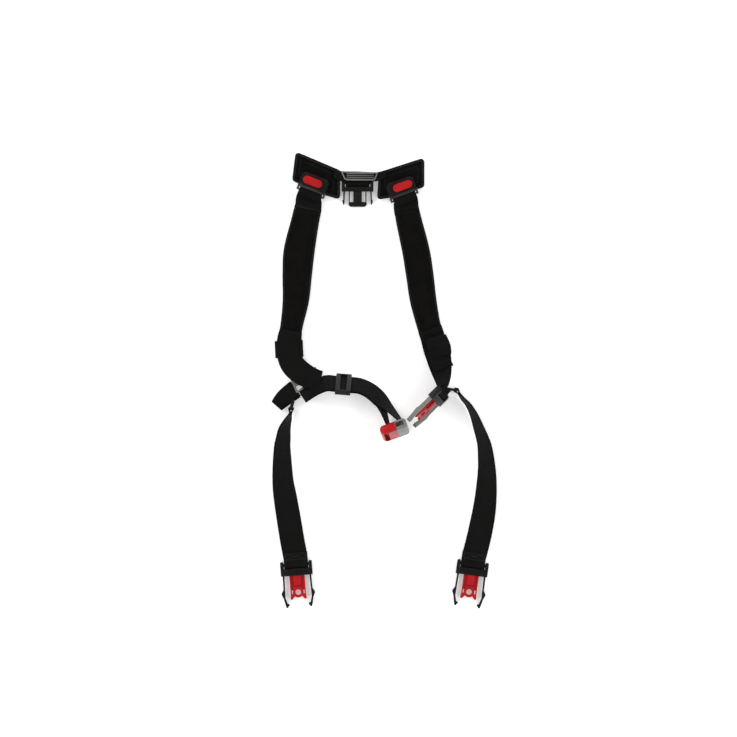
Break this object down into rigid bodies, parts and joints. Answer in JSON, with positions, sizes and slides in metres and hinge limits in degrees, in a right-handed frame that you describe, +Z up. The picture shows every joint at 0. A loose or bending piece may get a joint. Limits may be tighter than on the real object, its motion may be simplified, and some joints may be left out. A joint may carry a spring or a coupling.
{
  "type": "strap harness",
  "caption": "Flat-laid strap harness: padded yoke with push-button locks, shoulder straps, open chest buckle, slider and twisting leg straps with side release buckles.",
  "frame": {"origin": "middle of the laid-out harness in plan, on the surface it lies on", "axes": "+Y from the leg buckles to the yoke, +X to the viewer's right, +Z up off the surface"},
  "size_m": [0.3504, 0.7093, 0.0523],
  "materials": {
    "fabric": "padded woven cover, matt",
    "lining": "knitted spacer mesh",
    "foam": "closed cell foam",
    "binding": "folded edge tape, stitched",
    "webbing": "ribbed woven webbing",
    "piping": "rubbery moulded piping",
    "black_plastic": "moulded, fine texture",
    "grey_plastic": "moulded, fine texture",
    "light_plastic": "moulded, satin",
    "lip_plastic": "moulded, satin",
    "red_plastic": "glossy translucent red",
    "spring_steel": "drawn wire"
  },
  "bodies": {
    "harness": {"left_shoulder_cover": "fabric", "left_shoulder_foam": "foam", "left_shoulder_lining": "lining", "right_shoulder_cover": "fabric", "right_shoulder_foam": "foam", "right_shoulder_lining": "lining", "left_adjuster": "black_plastic", "left_lower_webbing": "webbing", "left_junction_frame": "light_plastic", "left_tail_webbing": "webbing", "chest_strap_front": "webbing", "chest_strap_back": "webbing", "chest_female_collar": "light_plastic", "chest_female_shell": "red_plastic", "chest_buckle_frame": "black_plastic", "chest_buckle_tongue": "red_plastic", "right_lower_webbing": "webbing", "right_tail_webbing": "webbing", "left_leg_ring": "light_plastic", "right_leg_ring": "light_plastic"},
    "yoke": {"left_wing_cover": "fabric", "left_wing_foam": "foam", "left_wing_lining": "lining", "left_wing_binding": "binding", "right_wing_cover": "fabric", "right_wing_foam": "foam", "right_wing_lining": "lining", "right_wing_binding": "binding", "bridge_panel": "fabric", "bridge_piping": "piping", "back_buckle_loop": "webbing", "left_lock_housing": "black_plastic", "left_lock_tongue": "lip_plastic", "left_loop_tab": "webbing", "left_lock_spring": "spring_steel", "right_lock_housing": "black_plastic", "right_lock_tongue": "lip_plastic", "right_loop_tab": "webbing", "right_lock_spring": "spring_steel"},
    "left_button": {"left_lock_button": "red_plastic"},
    "right_button": {"right_lock_button": "red_plastic"},
    "back_buckle": {"back_buckle_frame": "black_plastic", "back_buckle_tongue": "grey_plastic"},
    "left_leg": {"left_leg_strap": "webbing", "left_leg_hems": "webbing"},
    "right_leg": {"right_leg_strap": "webbing", "right_leg_hems": "webbing"},
    "left_buckle": {"left_buckle_frame": "black_plastic", "left_buckle_tongue": "red_plastic"},
    "right_buckle": {"right_buckle_frame": "black_plastic", "right_buckle_tongue": "red_plastic"},
    "slider": {"chest_slider": "grey_plastic"},
    "back_buckle_left_arm": {"back_buckle_left_arm": "light_plastic"},
    "back_buckle_right_arm": {"back_buckle_right_arm": "light_plastic"},
    "chest_buckle_left_arm": {"chest_buckle_left_arm": "light_plastic"},
    "chest_buckle_right_arm": {"chest_buckle_right_arm": "light_plastic"},
    "left_buckle_left_arm": {"left_buckle_left_arm": "black_plastic"},
    "left_buckle_right_arm": {"left_buckle_right_arm": "black_plastic"},
    "right_buckle_left_arm": {"right_buckle_left_arm": "black_plastic"},
    "right_buckle_right_arm": {"right_buckle_right_arm": "black_plastic"}
  },
  "joints": [
    {"name": "yoke_fold", "type": "hinge", "parent": "harness", "child": "yoke", "pos_m": [0, 0.273, 0.009], "axis": [1, 0, 0], "range_deg": [0, 110]},
    {"name": "left_button_press", "type": "slide", "parent": "yoke", "child": "left_button", "axis": [0, 0, -1], "range_m": [0, 0.0016], "stiffness_N_per_m": 1500, "deforming": ["left_lock_spring"]},
    {"name": "right_button_press", "type": "slide", "parent": "yoke", "child": "right_button", "axis": [0, 0, -1], "range_m": [0, 0.0016], "stiffness_N_per_m": 1500, "deforming": ["right_lock_spring"]},
    {"name": "back_buckle_tilt", "type": "hinge", "parent": "yoke", "child": "back_buckle", "pos_m": [-0.041, 0.3076, 0.005], "axis": [-1, 0, 0], "range_deg": [0, 50]},
    {"name": "back_buckle_right_arm_flex", "type": "hinge", "parent": "back_buckle", "child": "back_buckle_right_arm", "pos_m": [-0.0204, 0.2986, 0.005], "axis": [0, 0, -1], "range_deg": [0, 6], "stiffness_Nm_per_rad": 0.6},
    {"name": "back_buckle_left_arm_flex", "type": "hinge", "parent": "back_buckle", "child": "back_buckle_left_arm", "pos_m": [-0.0616, 0.2986, 0.005], "axis": [0, 0, 1], "range_deg": [0, 6], "stiffness_Nm_per_rad": 0.6},
    {"name": "left_leg_swing", "type": "hinge", "parent": "harness", "child": "left_leg", "pos_m": [-0.144, -0.044, 0.022], "axis": [0, 0, 1], "range_deg": [-12, 22]},
    {"name": "right_leg_swing", "type": "hinge", "parent": "harness", "child": "right_leg", "pos_m": [0.112, -0.015, 0.022], "axis": [0, 0, 1], "range_deg": [-22, 12]},
    {"name": "left_buckle_tilt", "type": "hinge", "parent": "left_leg", "child": "left_buckle", "pos_m": [-0.1367, -0.2862, 0.005], "axis": [-0.9969, -0.0785, 0], "range_deg": [0, 70]},
    {"name": "right_buckle_tilt", "type": "hinge", "parent": "right_leg", "child": "right_buckle", "pos_m": [0.1384, -0.2861, 0.005], "axis": [-0.9903, 0.1392, 0], "range_deg": [0, 70]},
    {"name": "left_buckle_right_arm_flex", "type": "hinge", "parent": "left_buckle", "child": "left_buckle_right_arm", "pos_m": [-0.11518, -0.29705, 0.005], "axis": [0, 0, -1], "range_deg": [0, 6], "stiffness_Nm_per_rad": 0.6},
    {"name": "left_buckle_left_arm_flex", "type": "hinge", "parent": "left_buckle", "child": "left_buckle_left_arm", "pos_m": [-0.15626, -0.30028, 0.005], "axis": [0, 0, 1], "range_deg": [0, 6], "stiffness_Nm_per_rad": 0.6},
    {"name": "right_buckle_right_arm_flex", "type": "hinge", "parent": "right_buckle", "child": "right_buckle_right_arm", "pos_m": [0.15706, -0.30134, 0.005], "axis": [0, 0, -1], "range_deg": [0, 6], "stiffness_Nm_per_rad": 0.6},
    {"name": "right_buckle_left_arm_flex", "type": "hinge", "parent": "right_buckle", "child": "right_buckle_left_arm", "pos_m": [0.11626, -0.29561, 0.005], "axis": [0, 0, 1], "range_deg": [0, 6], "stiffness_Nm_per_rad": 0.6},
    {"name": "chest_buckle_right_arm_flex", "type": "hinge", "parent": "harness", "child": "chest_buckle_right_arm", "pos_m": [0.08592, -0.0339, 0.0074], "axis": [-0.6556, 0.6556, -0.3746], "range_deg": [0, 6], "stiffness_Nm_per_rad": 0.6},
    {"name": "chest_buckle_left_arm_flex", "type": "hinge", "parent": "harness", "child": "chest_buckle_left_arm", "pos_m": [0.075, -0.02298, 0.0456], "axis": [0.6556, -0.6556, 0.3746], "range_deg": [0, 6], "stiffness_Nm_per_rad": 0.6},
    {"name": "slider_shift", "type": "slide", "parent": "harness", "child": "slider", "axis": [0.9971, -0.0767, 0], "range_m": [-0.005, 0.005]}
  ],
  "couplings": [
    {"joint": "back_buckle_left_arm_flex", "follows": "back_buckle_right_arm_flex", "ratio": 1},
    {"joint": "left_buckle_left_arm_flex", "follows": "left_buckle_right_arm_flex", "ratio": 1},
    {"joint": "right_buckle_left_arm_flex", "follows": "right_buckle_right_arm_flex", "ratio": 1},
    {"joint": "chest_buckle_left_arm_flex", "follows": "chest_buckle_right_arm_flex", "ratio": 1}
  ]
}
